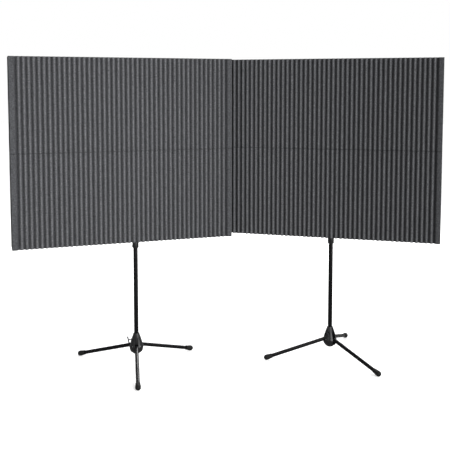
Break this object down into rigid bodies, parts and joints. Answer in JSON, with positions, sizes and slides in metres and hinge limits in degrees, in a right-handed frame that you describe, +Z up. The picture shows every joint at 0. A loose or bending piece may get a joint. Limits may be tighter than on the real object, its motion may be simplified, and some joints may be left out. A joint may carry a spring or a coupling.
{
  "type": "acoustic isolation wall",
  "caption": "Free-standing isolation shield: ridged foam panels stacked in two angled wings that swivel on telescopic tripod stands with folding legs.",
  "frame": {"origin": "on the floor, under the middle of the bounding box of the whole wall at rest", "axes": "+Z up, +X to the viewer's right along the wall, +Y away from the viewer; the ridged faces look towards -Y"},
  "size_m": [2.3558, 0.8662, 1.7365],
  "materials": {
    "foam": "open-cell foam, matt",
    "board": "matt black",
    "cast_black": "satin moulded",
    "black_tube": "satin powder coat",
    "rubber": "matt",
    "nylon": "smooth",
    "pin_steel": "plain",
    "screw": "black oxide"
  },
  "bodies": {
    "stands": {"left_hub": "cast_black", "left_hub_plug": "rubber", "left_lower_tube": "black_tube", "left_guide_bush": "nylon", "left_collar": "cast_black", "left_leg_pin_1": "pin_steel", "left_leg_pin_2": "pin_steel", "left_leg_pin_3": "pin_steel", "right_hub": "cast_black", "right_hub_plug": "rubber", "right_lower_tube": "black_tube", "right_guide_bush": "nylon", "right_collar": "cast_black", "right_leg_pin_1": "pin_steel", "right_leg_pin_2": "pin_steel", "right_leg_pin_3": "pin_steel"},
    "left_leg_1": {"left_leg_1": "black_tube", "left_foot_1": "rubber"},
    "left_leg_2": {"left_leg_2": "black_tube", "left_foot_2": "rubber"},
    "left_leg_3": {"left_leg_3": "black_tube", "left_foot_3": "rubber"},
    "left_hub_screw": {"left_hub_screw": "screw"},
    "left_collar_screw": {"left_collar_screw": "screw"},
    "left_mast": {"left_mast": "black_tube", "left_mast_bush": "nylon", "left_mast_cap": "rubber", "left_flange": "cast_black"},
    "left_lower_panel": {"left_lower_front_foam": "foam", "left_lower_core_board": "board", "left_lower_rear_foam": "foam", "left_lower_sleeve": "nylon"},
    "left_upper_panel": {"left_upper_front_foam": "foam", "left_upper_core_board": "board", "left_upper_rear_foam": "foam", "left_upper_sleeve": "nylon"},
    "right_leg_1": {"right_leg_1": "black_tube", "right_foot_1": "rubber"},
    "right_leg_2": {"right_leg_2": "black_tube", "right_foot_2": "rubber"},
    "right_leg_3": {"right_leg_3": "black_tube", "right_foot_3": "rubber"},
    "right_hub_screw": {"right_hub_screw": "screw"},
    "right_collar_screw": {"right_collar_screw": "screw"},
    "right_mast": {"right_mast": "black_tube", "right_mast_bush": "nylon", "right_mast_cap": "rubber", "right_flange": "cast_black"},
    "right_lower_panel": {"right_lower_front_foam": "foam", "right_lower_core_board": "board", "right_lower_rear_foam": "foam", "right_lower_sleeve": "nylon"},
    "right_upper_panel": {"right_upper_front_foam": "foam", "right_upper_core_board": "board", "right_upper_rear_foam": "foam", "right_upper_sleeve": "nylon"}
  },
  "joints": [
    {"name": "left_leg_1_fold", "type": "hinge", "parent": "stands", "child": "left_leg_1", "pos_m": [-0.52961, -0.07452, 0.113], "axis": [-0.9903, -0.1392, 0], "range_deg": [0, 104]},
    {"name": "left_leg_2_fold", "type": "hinge", "parent": "stands", "child": "left_leg_2", "pos_m": [-0.5108, -0.02795, 0.113], "axis": [0.6157, -0.788, 0], "range_deg": [0, 104]},
    {"name": "left_leg_3_fold", "type": "hinge", "parent": "stands", "child": "left_leg_3", "pos_m": [-0.56054, -0.03494, 0.113], "axis": [0.3746, 0.9272, 0], "range_deg": [0, 104]},
    {"name": "left_hub_screw_turn", "type": "hinge", "parent": "stands", "child": "left_hub_screw", "pos_m": [-0.53365, -0.0458, 0.153], "axis": [-0.788, -0.6157, 0], "range_deg": [0, 360]},
    {"name": "left_collar_screw_turn", "type": "hinge", "parent": "stands", "child": "left_collar_screw", "pos_m": [-0.53365, -0.0458, 0.6891], "axis": [-0.3256, 0.9455, 0], "range_deg": [0, 360]},
    {"name": "left_mast_slide", "type": "slide", "parent": "stands", "child": "left_mast", "axis": [0, 0, 1], "range_m": [0, 0.35]},
    {"name": "left_lower_swivel", "type": "hinge", "parent": "left_mast", "child": "left_lower_panel", "pos_m": [-0.53365, -0.0458, 0.72], "axis": [0, 0, -1], "range_deg": [0, 90]},
    {"name": "left_upper_swivel", "type": "hinge", "parent": "left_mast", "child": "left_upper_panel", "pos_m": [-0.53365, -0.0458, 1.2285], "axis": [0, 0, -1], "range_deg": [0, 90]},
    {"name": "right_leg_1_fold", "type": "hinge", "parent": "stands", "child": "right_leg_1", "pos_m": [0.60234, 0.04886, 0.113], "axis": [-0.7986, -0.6018, 0], "range_deg": [0, 104]},
    {"name": "right_leg_2_fold", "type": "hinge", "parent": "stands", "child": "right_leg_2", "pos_m": [0.59622, 0.09871, 0.113], "axis": [0.9205, -0.3907, 0], "range_deg": [0, 104]},
    {"name": "right_leg_3_fold", "type": "hinge", "parent": "stands", "child": "right_leg_3", "pos_m": [0.5561, 0.06848, 0.113], "axis": [-0.1219, 0.9925, 0], "range_deg": [0, 104]},
    {"name": "right_hub_screw_turn", "type": "hinge", "parent": "stands", "child": "right_hub_screw", "pos_m": [0.58489, 0.07202, 0.153], "axis": [-0.3907, -0.9205, 0], "range_deg": [0, 360]},
    {"name": "right_collar_screw_turn", "type": "hinge", "parent": "stands", "child": "right_collar_screw", "pos_m": [0.58489, 0.07202, 0.6891], "axis": [0.2756, 0.9613, 0], "range_deg": [0, 360]},
    {"name": "right_mast_slide", "type": "slide", "parent": "stands", "child": "right_mast", "axis": [0, 0, 1], "range_m": [0, 0.35]},
    {"name": "right_lower_swivel", "type": "hinge", "parent": "right_mast", "child": "right_lower_panel", "pos_m": [0.58489, 0.07202, 0.72], "axis": [0, 0, -1], "range_deg": [0, 90]},
    {"name": "right_upper_swivel", "type": "hinge", "parent": "right_mast", "child": "right_upper_panel", "pos_m": [0.58489, 0.07202, 1.2285], "axis": [0, 0, -1], "range_deg": [0, 90]}
  ]
}
